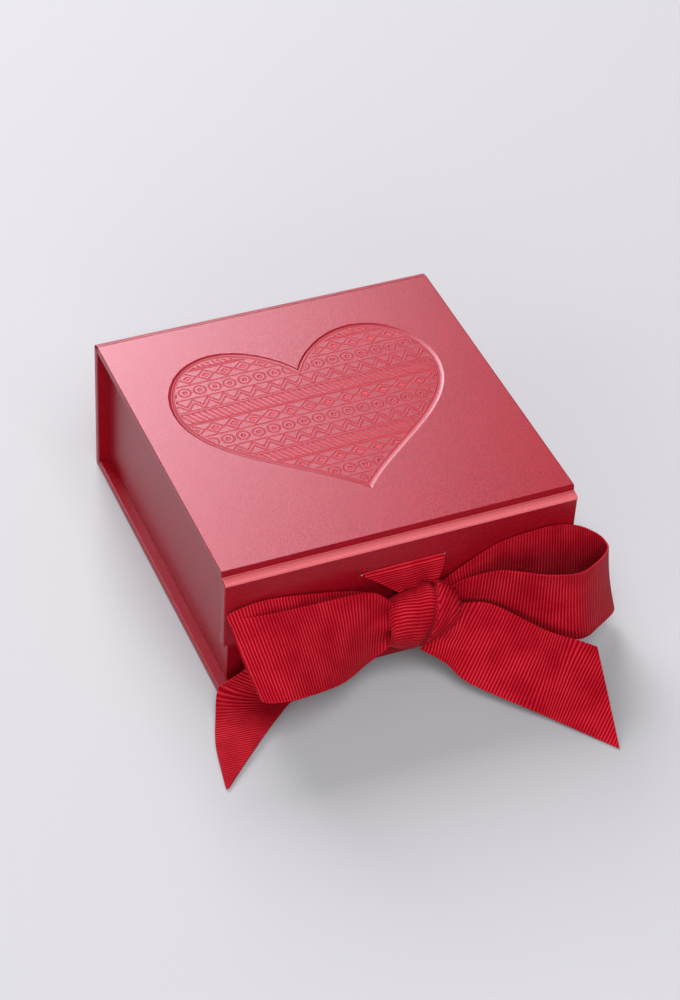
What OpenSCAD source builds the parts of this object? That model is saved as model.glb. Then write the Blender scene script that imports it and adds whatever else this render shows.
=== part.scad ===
// Rigid gift box with a hinged book-style lid, a front flap and a tied ribbon.
// Millimetres. X runs to the right along the front, Y to the back, Z up.
// The origin is the centre of the underside of the base.

/* [Case] */
// Width of the lid, spine, base and flap
case_w = 110; // [96:1:200]
// Depth over the base's front edge and the spine's back
case_d = 111.4; // [96:0.2:200]
// Height over the lid's top
case_h = 49; // [42:0.5:90]
// Thickness of the greyboard of the case
board_t = 2.3; // [2:0.1:2.6]
// Thickness of the covering paper
paper_t = 0.2; // [0.15:0.05:0.3]
// Width of the turned-in paper that shows round a lining
rim_w = 3; // [2:0.5:5]

/* [Hinges] */
// Distance that the flap stands out in front of the base's front edge
flap_out = 0.9; // [0.6:0.1:1.2]
// Distance of the flap's top edge below the lid's top
flap_drop = 2.6; // [2.4:0.1:3]
// Distance of the spine's top edge below the lid's top
spine_drop = 1.9; // [1.7:0.1:2.3]
// Running clearance at the paper hinges
hinge_gap = 0.3; // [0.2:0.05:0.4]

/* [Flap] */
// Height of the flap
flap_h = 24; // [22:0.2:26]
// Length of the slit for the ribbon
slit_l = 26.4; // [26:0.2:32]
// Opening of the slit
slit_t = 1.5; // [1.3:0.1:2]
// Distance from the flap's top edge to the slit
slit_drop = 9.2; // [8:0.2:10]
// Diameter of a closing magnet
magnet_d = 10; // [6:0.5:11]
// Thickness of a closing magnet
magnet_t = 1.2; // [0.8:0.1:1.4]
// Distance of each magnet from the flap's end
magnet_inset = 16; // [12:1:24]
// Distance from a magnet's centre to the flap's lower edge
magnet_rise = 9; // [8:0.5:12]

/* [Tray] */
// Distance of the tray's sides behind the case's ends
tray_inset = 3.6; // [2:0.2:5]
// Gap between the flap's back and the tray's front
tray_gap = 3.3; // [2:0.1:4]
// Thickness of the tray's board
tray_t = 2; // [1.6:0.1:2.4]
// Width of a stay tape on each side of a corner
stay_w = 9; // [6:1:14]
// Thickness of a stay tape
stay_t = 0.1; // [0.05:0.05:0.2]
// Thickness of a steel plate opposite a magnet
plate_t = 0.8; // [0.5:0.1:1]

/* [Heart] */
// Width of the heart
heart_w = 86; // [50:1:88]
// Height of the heart from its tip to the top of its lobes
heart_h = 73; // [45:1:84]
// Depth to which the heart is pressed into the lid
deboss_t = 0.25; // [0.1:0.05:0.4]
// Distance of the heart's centre behind the lid's centre
heart_shift = 1.4; // [0:0.2:3]
// Distance of the heart's centre to the left of the lid's centre
heart_left = 1.4; // [0:0.2:2]

/* [Ribbon] */
// Width of the ribbon
ribbon_w = 25.4; // [24:0.1:26]
// Thickness of the ribbon
ribbon_t = 0.5; // [0.4:0.05:0.6]
// Distance of the knot's centre to the right of the slit's centre
knot_x = 4; // [0:0.5:6]
// Height of the knot's centre above the table
knot_z = 20.5; // [19.5:0.5:22]
// Distance of the knot's centre in front of the flap
knot_y = 6.6; // [6:0.2:8]
// Width of the knot
knot_w = 22; // [20:0.5:24]
// Height of the knot
knot_h = 20; // [18:0.5:22]
// Depth of the knot
knot_d = 11.5; // [10:0.5:12]

/* [Hidden] */

// overrun of a cut past the face that it opens
cut = 1;
// thickness of a board with its paper on both faces
cover_t = board_t + 2*paper_t;
front_y = -case_d/2;
back_y = case_d/2;
end_x = case_w/2;

// faces of the flap, which hangs just in front of the lid's front edge
flap_front_y = front_y - flap_out;
flap_back_y = flap_front_y + cover_t;

// lid
lid_z = case_h - cover_t;
lid_front_y = flap_back_y + hinge_gap;
lid_back_y = back_y - cover_t - hinge_gap;
lid_d = lid_back_y - lid_front_y;
heart_y = (lid_front_y + lid_back_y)/2 + heart_shift;

// spine
spine_inner_y = back_y - cover_t;
spine_top_z = case_h - spine_drop;
spine_rim = tray_inset + rim_w;

// flap
flap_top_z = case_h - flap_drop;
flap_low_z = flap_top_z - flap_h;
slit_z = flap_top_z - slit_drop;
magnet_x = end_x - magnet_inset;
magnet_z = flap_low_z + magnet_rise;
magnet_slack = 0.1;

// tray, over its paper
tray_w = case_w - 2*tray_inset;
tray_front_y = flap_back_y + tray_gap;
tray_back_y = spine_inner_y;
tray_low_z = cover_t;
tray_top_z = lid_z;
// the boards lie inside the paper and the stay tapes
skin_t = paper_t + stay_t;
wall_x = tray_w/2 - skin_t;
wall_front_y = tray_front_y + skin_t;
wall_back_y = tray_back_y - skin_t;
wall_low_z = tray_low_z + tray_t;
wall_top_z = tray_top_z - paper_t;

pearl = [0.76, 0.24, 0.30];
pearl_shade = [0.55, 0.14, 0.20];
gloss_red = [0.80, 0.13, 0.20];
grey_board = [0.62, 0.60, 0.57];
lining_red = [0.66, 0.16, 0.22];
scarlet = [0.72, 0.03, 0.08];
steel = [0.70, 0.71, 0.73];
buff = [0.80, 0.72, 0.55];

// box from its low corner to its high corner
module span(low, high) {
    translate(low) cube(high - low);
}

// board of a cover that lies on its outer face, with a margin for the paper
module cover_board(w, d) {
    span([-w/2 + paper_t, paper_t, paper_t], [w/2 - paper_t, d - paper_t, paper_t + board_t]);
}

// window that the turned-in paper leaves in a cover's inner face
module cover_window(w, d, rim_x, rim_y, over) {
    span([-w/2 + rim_x, rim_y, cover_t - paper_t], [w/2 - rim_x, d - rim_y, cover_t + over]);
}

// paper round a cover: outer face, four edges and the turned-in rim
module cover_paper(w, d, rim_x, rim_y) {
    difference() {
        span([-w/2, 0, 0], [w/2, d, cover_t]);
        cover_board(w, d);
        cover_window(w, d, rim_x, rim_y, cut);
    }
}

// Places that turn a lying cover into the base, spine, lid and flap
module at_base() {
    translate([0, front_y, 0]) children();
}

module at_spine() {
    translate([0, back_y, 0]) rotate([90, 0, 0]) children();
}

module at_lid() {
    translate([0, lid_back_y, case_h]) rotate([180, 0, 0]) children();
}

module at_flap() {
    translate([0, flap_front_y, flap_low_z]) rotate([90, 0, 180]) children();
}

// Base and spine
base_d = case_d - cover_t;
// the base's window lies under the tray's floor
base_rim_x = tray_inset + skin_t + rim_w;
base_rim_y = tray_front_y - front_y + skin_t + rim_w;

module base_board() {
    color(grey_board) at_base() cover_board(case_w, base_d);
}

module base_wrap() {
    color(pearl) at_base() cover_paper(case_w, base_d, base_rim_x, base_rim_y);
}

module spine_board() {
    color(grey_board) at_spine() cover_board(case_w, spine_top_z);
}

module spine_wrap() {
    color(pearl_shade) at_spine() cover_paper(case_w, spine_top_z, spine_rim, spine_rim);
}

// paper that bridges the groove between the spine's top and the lid
module spine_hinge() {
    lip_y = spine_inner_y;
    lip_z = case_h - hinge_gap;
    color(pearl_shade) translate([-end_x, 0, 0]) rotate([90, 0, 90]) linear_extrude(case_w)
        polygon([[back_y, spine_top_z], [lip_y, lip_z], [lip_y, lip_z - paper_t],
                 [back_y - paper_t - hinge_gap, spine_top_z]]);
}

// Tray
module tray_floor() {
    color(grey_board) span([-wall_x, wall_front_y, tray_low_z], [wall_x, wall_back_y, wall_low_z]);
}

// disc let into the outer face of the tray's front wall
module plate_at(side, slack, over) {
    translate([side*magnet_x, wall_front_y + plate_t, magnet_z]) rotate([90, 0, 0])
        cylinder(d = magnet_d + 2*slack, h = plate_t + over, $fn = 48);
}

module tray_front_wall() {
    color(grey_board) difference() {
        span([-wall_x, wall_front_y, wall_low_z], [wall_x, wall_front_y + tray_t, wall_top_z]);
        for (side = [-1, 1]) plate_at(side, magnet_slack, cut);
    }
}

module tray_back_wall() {
    color(grey_board)
        span([-wall_x, wall_back_y - tray_t, wall_low_z], [wall_x, wall_back_y, wall_top_z]);
}

// side wall between the front and back walls
module tray_side_wall(low_x) {
    span([low_x, wall_front_y + tray_t, wall_low_z], [low_x + tray_t, wall_back_y - tray_t, wall_top_z]);
}

module tray_left_wall() {
    color(grey_board) tray_side_wall(-wall_x);
}

module tray_right_wall() {
    color(grey_board) tray_side_wall(wall_x - tray_t);
}

module tray_steel_plates() {
    color(steel) for (side = [-1, 1]) plate_at(side, 0, 0);
}

// tapes folded round the four upright corners of the boards
module tray_corner_stays() {
    color(buff) difference() {
        span([-wall_x - stay_t, wall_front_y - stay_t, wall_low_z],
             [wall_x + stay_t, wall_back_y + stay_t, wall_top_z]);
        span([-wall_x, wall_front_y, wall_low_z - cut], [wall_x, wall_back_y, wall_top_z + cut]);
        span([-wall_x + stay_w, wall_front_y - stay_t - cut, wall_low_z - cut],
             [wall_x - stay_w, wall_back_y + stay_t + cut, wall_top_z + cut]);
        span([-wall_x - stay_t - cut, wall_front_y + stay_w, wall_low_z - cut],
             [wall_x + stay_t + cut, wall_back_y - stay_w, wall_top_z + cut]);
    }
}

// paper round the outside of the tray and over its rim
module tray_wrap() {
    lap_x = wall_x - tray_t;
    color(pearl) difference() {
        span([-tray_w/2, tray_front_y, tray_low_z], [tray_w/2, tray_back_y, tray_top_z]);
        span([-tray_w/2 + paper_t, tray_front_y + paper_t, tray_low_z - cut],
             [tray_w/2 - paper_t, tray_back_y - paper_t, wall_top_z]);
        span([-lap_x, wall_front_y + tray_t, wall_top_z - cut],
             [lap_x, wall_back_y - tray_t, tray_top_z + cut]);
    }
}

// paper over the inside of the walls and over the floor
module tray_lining() {
    inner_x = wall_x - tray_t;
    low = [-inner_x, wall_front_y + tray_t, wall_low_z];
    high = [inner_x, wall_back_y - tray_t, tray_top_z];
    color(lining_red) difference() {
        span(low, high);
        span(low + [paper_t, paper_t, paper_t], high - [paper_t, paper_t, -cut]);
    }
}

// Lid

// extent of the heart's curve above and below its own zero, and the fullness of its sides
curve_top = 11.72;
curve_tip = 16;
side_power = 2.3;
function heart_point(turn) =
    let (side = pow(abs(sin(turn)), side_power)*sign(sin(turn)),
         rise = 13*cos(turn) - 4*cos(2*turn) - 2*cos(3*turn) - cos(4*turn))
    [heart_w/2*side, heart_h*((rise + curve_tip)/(curve_top + curve_tip) - 1/2)];

// flat outline of the heart, lobes to the back
module heart_outline() {
    translate([-heart_left, heart_y]) polygon([for (turn = [0:5:355]) heart_point(turn)]);
}

module lid_board() {
    color(grey_board) difference() {
        at_lid() cover_board(case_w, lid_d);
        translate([0, 0, case_h - paper_t - deboss_t]) linear_extrude(deboss_t + cut) heart_outline();
    }
}

module lid_wrap() {
    color(pearl) difference() {
        at_lid() cover_paper(case_w, lid_d, rim_w, rim_w);
        translate([0, 0, case_h - paper_t - cut]) linear_extrude(paper_t + 2*cut) heart_outline();
    }
}

module lid_lining() {
    color(lining_red) at_lid() cover_window(case_w, lid_d, rim_w, rim_w, 0);
}

// the pressed and glossed heart of the lid's paper
module heart_panel() {
    color(gloss_red) translate([0, 0, case_h - paper_t - deboss_t])
        linear_extrude(paper_t) heart_outline();
}

// paper down the lid's front edge, pressed into the groove over the flap
module flap_hinge() {
    color(pearl_shade)
        span([-end_x, lid_front_y - paper_t, flap_top_z + hinge_gap],
             [end_x, lid_front_y, case_h - paper_t]);
}

// Flap

// slit through the whole flap
module ribbon_slit() {
    span([-slit_l/2, flap_front_y - cut, slit_z - slit_t/2],
         [slit_l/2, flap_back_y + cut, slit_z + slit_t/2]);
}

// disc let into the inner face of the flap's board
module magnet_at(side, slack, over) {
    translate([side*magnet_x, flap_back_y - paper_t + over, magnet_z]) rotate([90, 0, 0])
        cylinder(d = magnet_d + 2*slack, h = magnet_t + over, $fn = 48);
}

module flap_board() {
    color(grey_board) difference() {
        at_flap() cover_board(case_w, flap_h);
        ribbon_slit();
        for (side = [-1, 1]) magnet_at(side, magnet_slack, cut);
    }
}

module flap_wrap() {
    color(pearl) difference() {
        at_flap() cover_paper(case_w, flap_h, rim_w, rim_w);
        ribbon_slit();
    }
}

module flap_lining() {
    color(lining_red) difference() {
        at_flap() cover_window(case_w, flap_h, rim_w, rim_w, 0);
        ribbon_slit();
    }
}

module flap_magnets() {
    color(steel) for (side = [-1, 1]) magnet_at(side, 0, 0);
}

// Ribbon

// A station of a ribbon is the place of one edge, the direction to the other edge and the width
// there. Places are shares of the ribbon's width to the right of the knot and forward of the flap,
// and shares of the knot's height above the table. Widths are shares of the ribbon's width.
left_loop_shares = [
    [[-0.35, 0.29, 1.39], [0.08, -0.08, -0.99], 0.51],
    [[-0.63, 0.23, 1.67], [-0.02, -0.14, -0.99], 0.97],
    [[-1.22, 0.21, 1.70], [0.08, -0.46, -0.89], 1.00],
    [[-1.87, 0.19, 1.71], [0.08, -0.75, -0.66], 1.00],
    [[-2.22, 0.14, 1.71], [0.13, -0.74, -0.66], 1.00],
    [[-2.31, 0.10, 1.74], [0.15, -0.72, -0.67], 1.00],
    [[-2.24, 0.08, 1.79], [0.13, -0.66, -0.74], 1.00],
    [[-1.85, 0.07, 1.84], [0.08, -0.52, -0.85], 1.00],
    [[-1.18, 0.07, 1.71], [0.04, -0.32, -0.95], 1.00],
    [[-0.63, 0.09, 1.52], [0.02, -0.15, -0.99], 0.82],
    [[-0.35, 0.17, 1.37], [0.08, -0.04, -1.00], 0.51]];
right_loop_shares = [
    [[0.31, 0.29, 1.37], [0.04, 0.00, -1.00], 0.51],
    [[0.53, 0.26, 1.46], [0.02, 0.05, -1.00], 0.87],
    [[0.86, 0.37, 1.64], [0.02, 0.10, -0.99], 1.00],
    [[1.09, 0.50, 1.68], [0.04, 0.08, -1.00], 1.00],
    [[1.39, 0.66, 1.66], [0.06, 0.04, -1.00], 1.00],
    [[1.74, 0.72, 1.63], [0.09, -0.08, -0.99], 1.00],
    [[2.06, 0.58, 1.60], [0.11, -0.08, -0.99], 1.00],
    [[2.30, 0.37, 1.51], [0.15, -0.08, -0.99], 1.00],
    [[2.35, 0.21, 1.48], [0.15, -0.06, -0.99], 1.00],
    [[2.26, 0.10, 1.56], [0.13, -0.02, -0.99], 1.00],
    [[2.01, 0.07, 1.75], [0.09, -0.01, -1.00], 1.00],
    [[1.65, 0.07, 1.87], [0.06, -0.01, -1.00], 1.00],
    [[1.13, 0.07, 1.82], [0.03, -0.01, -1.00], 1.00],
    [[0.71, 0.09, 1.62], [0.01, -0.02, -1.00], 0.89],
    [[0.31, 0.15, 1.37], [0.04, -0.02, -1.00], 0.51]];
right_tail_shares = [
    [[-0.02, 0.36, 0.49], [0.45, 0.04, 0.89], 0.62],
    [[0.22, 0.57, 0.32], [0.49, 0.35, 0.80], 0.76],
    [[0.38, 0.87, 0.20], [0.52, 0.50, 0.69], 0.94],
    [[0.84, 1.39, 0.13], [0.57, 0.67, 0.48], 0.95],
    [[1.12, 1.67, 0.07], [0.59, 0.69, 0.43], 1.01],
    [[1.63, 2.28, 0.02], [0.19, 0.91, 0.36], 1.26]];
left_tail_shares = [
    [[-0.31, 0.10, 0.93], [0.04, -0.05, -0.99], 0.44],
    [[-1.10, 0.07, 0.98], [0.54, -0.10, -0.83], 0.80],
    [[-1.77, 0.04, 0.76], [0.75, -0.25, -0.61], 0.89],
    [[-2.19, 0.01, 0.39], [0.91, -0.30, -0.28], 0.97],
    [[-2.35, -0.03, 0.19], [0.92, -0.36, -0.12], 0.99],
    [[-2.50, 0.29, 0.07], [1.00, -0.05, -0.03], 0.91],
    [[-2.64, 0.67, 0.03], [1.00, 0.05, 0.00], 0.67],
    [[-2.72, 1.07, 0.03], [1.00, 0.07, 0.00], 0.28],
    [[-2.76, 1.31, 0.03], [1.00, 0.10, 0.00], 0.04]];
// steps between two stations
bow_steps = 4;

function unit(v) = v/norm(v);
// both edges of a station in real places
function edges(station) =
    let (place = station[0],
         first = [knot_x + place[0]*ribbon_w, front_y - place[1]*ribbon_w, place[2]*knot_z])
    [first, first + station[2]*ribbon_w*unit(station[1])];
// smooth curve through four neighbours, from the second to the third
function blend(a, b, c, d, part) =
    (2*b + (c - a)*part + (2*a - 5*b + 4*c - d)*pow(part, 2) + (3*b - a - 3*c + d)*pow(part, 3))/2;
// list of edge pairs along a ribbon, with the steps filled in
function smooth_run(pairs, steps) =
    let (last = len(pairs) - 1)
    [for (i = [0:last - 1], k = [0:steps - 1])
        [for (side = [0, 1])
            blend(pairs[max(i - 1, 0)][side], pairs[i][side], pairs[i + 1][side],
                  pairs[min(i + 2, last)][side], k/steps)],
     pairs[last]];
// square of the run at one pair: across the width and through the thickness
function run_face(run, i) =
    let (last = len(run) - 1,
         mid_next = run[min(i + 1, last)][0] + run[min(i + 1, last)][1],
         mid_past = run[max(i - 1, 0)][0] + run[max(i - 1, 0)][1],
         half = ribbon_t/2*unit(cross(mid_next - mid_past, run[i][1] - run[i][0])))
    [run[i][0] - half, run[i][0] + half, run[i][1] + half, run[i][1] - half];

// flat ribbon through a list of edge pairs
module ribbon_run(run) {
    rings = len(run);
    points = [for (i = [0:rings - 1]) each run_face(run, i)];
    // the back's squares are cut along the same diagonal as the front's, so a twisted ribbon keeps
    // its thickness
    sides = [for (i = [0:rings - 2], k = [0:3])
        let (a = 4*i + k, b = 4*i + (k + 1)%4)
        each k == 3 ? [[a, b, a + 4], [b, b + 4, a + 4]] : [[a, b, b + 4], [a, b + 4, a + 4]]];
    top = 4*(rings - 1);
    polyhedron(points, concat(sides, [[0, 3, 2], [0, 2, 1]],
                              [[top, top + 1, top + 2], [top, top + 2, top + 3]]));
}

module ribbon_left_loop() {
    color(scarlet) ribbon_run(smooth_run([for (s = left_loop_shares) edges(s)], bow_steps));
}

module ribbon_right_loop() {
    color(scarlet) ribbon_run(smooth_run([for (s = right_loop_shares) edges(s)], bow_steps));
}

module ribbon_left_tail() {
    color(scarlet) ribbon_run(smooth_run([for (s = left_tail_shares) edges(s)], bow_steps));
}

module ribbon_right_tail() {
    color(scarlet) ribbon_run(smooth_run([for (s = right_tail_shares) edges(s)], bow_steps));
}

// Band that goes through the slit, down behind the flap and under its lower edge to the knot
band_slack = 0.4;
// stations of the band: place in the plane across the box, width share and sideways share
function band_stations() =
    let (off = band_slack + ribbon_t/2,
         back = flap_back_y + off,
         under = flap_low_z - off,
         knot_back = front_y - knot_y + knot_d/3)
    [[knot_back, knot_z - knot_h/5, 0.42, 1],
     [flap_front_y - off, under - off, 0.62, 0.7],
     [(flap_front_y + flap_back_y)/2, under - off/2, 0.8, 0.4],
     [back, under, 0.96, 0.15],
     [back, (under + slit_z)/2, 1, 0],
     [back, slit_z - off, 1, 0],
     [flap_back_y, slit_z, 1, 0],
     [flap_front_y, slit_z, 1, 0],
     [flap_front_y - off, slit_z - off, 0.98, 0.05],
     [flap_front_y - 2*off, (slit_z + knot_z + knot_h/2)/2, 0.8, 0.5],
     [knot_back - off/2, knot_z + knot_h*0.4, 0.45, 1]];

module ribbon_slit_band() {
    pairs = [for (s = band_stations())
        let (mid = knot_x*s[3], half = s[2]*ribbon_w/2)
        [[mid - half, s[0], s[1]], [mid + half, s[0], s[1]]]];
    color(scarlet) ribbon_run(smooth_run(pairs, bow_steps));
}

// Knot: a pleated band drawn tight round the crossing of the loops
knot_rings = 12;
knot_sides = 24;
// shares of the knot's size for its blunt ends and for its pleats
knot_end_share = 0.5;
pleat_share = 0.07;
pleat_count = 5;
function knot_ring(i) =
    let (along = i/knot_rings,
         swell = knot_end_share + (1 - knot_end_share)*sqrt(sin(180*along)))
    [for (k = [0:knot_sides - 1])
        let (turn = 360*k/knot_sides,
             pleat = 1 + pleat_share*cos(pleat_count*turn + 120*along))
        [knot_x + knot_w*(along - 1/2),
         front_y - knot_y + knot_d/2*swell*pleat*cos(turn),
         knot_z + knot_h/2*swell*pleat*sin(turn)]];

module ribbon_knot() {
    points = [for (i = [0:knot_rings]) each knot_ring(i)];
    n = knot_sides;
    sides = [for (i = [0:knot_rings - 1], k = [0:n - 1])
        let (a = n*i + k, b = n*i + (k + 1)%n) each [[a, b + n, b], [a, a + n, b + n]]];
    first_end = [for (k = [1:n - 2]) [0, k, k + 1]];
    last_end = [for (k = [1:n - 2]) [n*knot_rings, n*knot_rings + k + 1, n*knot_rings + k]];
    color(scarlet) polyhedron(points, concat(sides, first_end, last_end));
}

base_board();
base_wrap();
spine_board();
spine_wrap();
spine_hinge();
tray_floor();
tray_front_wall();
tray_back_wall();
tray_left_wall();
tray_right_wall();
tray_corner_stays();
tray_steel_plates();
tray_wrap();
tray_lining();
lid_board();
lid_wrap();
lid_lining();
heart_panel();
flap_hinge();
flap_board();
flap_wrap();
flap_lining();
flap_magnets();
ribbon_slit_band();
ribbon_knot();
ribbon_left_loop();
ribbon_right_loop();
ribbon_left_tail();
ribbon_right_tail();
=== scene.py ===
"""Looks of the heart gift box: papers, pressed heart, tied ribbon, table and light."""

import logging
import math
from collections.abc import Callable, Sequence
from dataclasses import dataclass, field
from enum import Enum

import bpy
from mathutils import Matrix, Vector


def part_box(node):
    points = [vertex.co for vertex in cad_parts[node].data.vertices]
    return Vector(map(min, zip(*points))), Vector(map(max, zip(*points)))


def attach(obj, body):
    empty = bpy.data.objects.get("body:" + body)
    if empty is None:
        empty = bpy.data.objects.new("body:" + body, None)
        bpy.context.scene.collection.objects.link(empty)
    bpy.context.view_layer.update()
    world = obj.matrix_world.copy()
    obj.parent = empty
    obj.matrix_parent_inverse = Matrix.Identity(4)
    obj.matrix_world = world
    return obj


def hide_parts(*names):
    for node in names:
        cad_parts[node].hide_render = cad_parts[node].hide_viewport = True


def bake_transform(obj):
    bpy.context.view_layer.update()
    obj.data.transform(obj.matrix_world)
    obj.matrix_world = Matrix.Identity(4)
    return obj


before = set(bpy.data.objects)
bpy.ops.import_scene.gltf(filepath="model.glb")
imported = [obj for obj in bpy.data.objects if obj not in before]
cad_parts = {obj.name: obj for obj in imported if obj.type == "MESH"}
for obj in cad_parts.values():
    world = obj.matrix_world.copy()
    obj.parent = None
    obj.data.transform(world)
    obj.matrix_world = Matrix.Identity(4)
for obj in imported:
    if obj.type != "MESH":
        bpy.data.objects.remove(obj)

LOG = logging.getLogger("gift_box")
MM = 0.001
# metres within which two places count as one
HAIR = 1e-6
RIBBON_MM = 25.4
KNOT_X_MM = 4.0
KNOT_Z_MM = 20.5
FLAP_FRONT_MM = -55.7
Colour = tuple[float, float, float]
Point = tuple[float, float, float]
Socket = bpy.types.NodeSocket


class Body(Enum):
    """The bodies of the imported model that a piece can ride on."""

    BOX = "box"
    LID = "lid"
    FLAP = "flap"


class Tone:
    """A value inside a shader that plain arithmetic can use."""

    def __init__(self, bench: "Bench", socket: Socket) -> None:
        """Wraps one output socket of a bench."""
        self.bench = bench
        self.socket = socket

    def math(self, operation: str, *others: "Tone | float") -> "Tone":
        """Feeds the value through a Math node.

        Args:
            operation: the node's operation.
            others: its further inputs.

        Returns:
            The node's result.
        """
        return self.bench.maths(operation, self, *others)

    def __add__(self, other: "Tone | float") -> "Tone":
        """Adds."""
        return self.math("ADD", other)

    def __radd__(self, other: float) -> "Tone":
        """Adds to a number."""
        return self.bench.maths("ADD", other, self)

    def __sub__(self, other: "Tone | float") -> "Tone":
        """Subtracts."""
        return self.math("SUBTRACT", other)

    def __rsub__(self, other: float) -> "Tone":
        """Subtracts from a number."""
        return self.bench.maths("SUBTRACT", other, self)

    def __mul__(self, other: "Tone | float") -> "Tone":
        """Multiplies."""
        return self.math("MULTIPLY", other)

    def __rmul__(self, other: float) -> "Tone":
        """Multiplies a number."""
        return self.bench.maths("MULTIPLY", other, self)

    def __truediv__(self, other: "Tone | float") -> "Tone":
        """Divides."""
        return self.math("DIVIDE", other)

    def __rtruediv__(self, other: float) -> "Tone":
        """Divides a number."""
        return self.bench.maths("DIVIDE", other, self)

    def __abs__(self) -> "Tone":
        """Drops the sign."""
        return self.math("ABSOLUTE")

    def wave(self) -> "Tone":
        """Gives the distance from the middle of each unit cell, from 0 to 0.5."""
        return abs(self.math("FRACT") - 0.5)

    def rise(self, low: float, high: float) -> "Tone":
        """Climbs smoothly from 0 to 1 between two values.

        Args:
            low: value below which the result is 0.
            high: value above which it is 1.

        Returns:
            The smooth step.
        """
        node = self.bench.node("ShaderNodeMapRange", {"interpolation_type": "SMOOTHSTEP"},
                               {"Value": self, "From Min": low, "From Max": high})
        return Tone(self.bench, node.outputs[0])

    def stroke(self, place: float, width: float) -> "Tone":
        """Draws a soft line of a given width where the value passes a place.

        Args:
            place: value at the line's middle.
            width: width of the line.

        Returns:
            1 on the line and 0 beside it.
        """
        return 1.0 - abs(self - place).rise(width*0.3, width*0.7)


class Bench:
    """The node tree of one material, with a single way to add a node to it."""

    def __init__(self, name: str) -> None:
        """Starts an empty material."""
        self.material = bpy.data.materials.new(name)
        self.material.use_nodes = True
        self.tree = self.material.node_tree
        self.tree.nodes.clear()

    def node(self, kind: str, settings: dict | None = None, sockets: dict | None = None) -> bpy.types.Node:
        """Adds a node.

        Args:
            kind: the node's type.
            settings: its properties by name.
            sockets: its inputs by name or number, each a value, a tone or a socket.

        Returns:
            The new node.
        """
        made = self.tree.nodes.new(kind)
        for name, value in (settings or {}).items():
            setattr(made, name, value)
        for key, value in (sockets or {}).items():
            source = value.socket if isinstance(value, Tone) else value
            if isinstance(source, Socket):
                self.tree.links.new(source, made.inputs[key])
            else:
                made.inputs[key].default_value = source
        return made

    def maths(self, operation: str, *values: Tone | float) -> Tone:
        """Adds a Math node.

        Args:
            operation: the node's operation.
            values: its inputs in order.

        Returns:
            The result.
        """
        made = self.node("ShaderNodeMath", {"operation": operation}, dict(enumerate(values)))
        return Tone(self, made.outputs[0])

    def place(self, scale: Sequence[float] = (1000.0, 1000.0, 1000.0),
              shift: Sequence[float] = (0.0, 0.0, 0.0)) -> Socket:
        """Gives the object's own coordinates in millimetres.

        Args:
            scale: factor on each axis, from metres.
            shift: what is added after that, in millimetres.

        Returns:
            The vector.
        """
        own = self.node("ShaderNodeTexCoord").outputs["Object"]
        made = self.node("ShaderNodeVectorMath", {"operation": "MULTIPLY_ADD"}, {0: own, 1: scale, 2: shift})
        return made.outputs[0]

    def split(self, vector: Socket) -> tuple[Tone, Tone, Tone]:
        """Takes a vector apart."""
        made = self.node("ShaderNodeSeparateXYZ", None, {0: vector})
        return tuple(Tone(self, socket) for socket in made.outputs)

    def noise(self, vector: Socket, scale: float, detail: float = 2.0, rough: float = 0.5) -> Tone:
        """Adds a noise of values round one half.

        Args:
            vector: where it is read.
            scale: cells in a unit of the vector.
            detail: octaves.
            rough: share of the finer octaves.

        Returns:
            The noise.
        """
        made = self.node("ShaderNodeTexNoise", None,
                         {"Vector": vector, "Scale": scale, "Detail": detail, "Roughness": rough})
        return Tone(self, made.outputs[0])

    def mix(self, share: Tone | float, first: Colour | Socket, second: Colour | Socket) -> Socket:
        """Mixes two colours.

        Args:
            share: share of the second.
            first: a colour or a colour socket.
            second: a colour or a colour socket.

        Returns:
            The mixed colour.
        """
        colours = [value if isinstance(value, Socket) else (*value, 1.0) for value in (first, second)]
        made = self.node("ShaderNodeMix", {"data_type": "RGBA"}, {0: share, 6: colours[0], 7: colours[1]})
        return made.outputs[2]

    def cover(self, colour: Socket, rough: Tone, height: Tone, depth: float,
              constants: dict[str, object]) -> bpy.types.Material:
        """Ends the material in a surface shader.

        Args:
            colour: base colour.
            rough: roughness.
            height: relief, in shares of the depth.
            depth: depth of the relief in millimetres.
            constants: values that are the same all over, by socket name.

        Returns:
            The finished material.
        """
        bump = self.node("ShaderNodeBump", None, {"Height": height, "Distance": depth*MM})
        shader = self.node("ShaderNodeBsdfPrincipled", None,
                           {"Base Color": colour, "Roughness": rough, "Normal": bump.outputs[0], **constants})
        self.node("ShaderNodeOutputMaterial", None, {"Surface": shader.outputs[0]})
        return self.material


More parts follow.
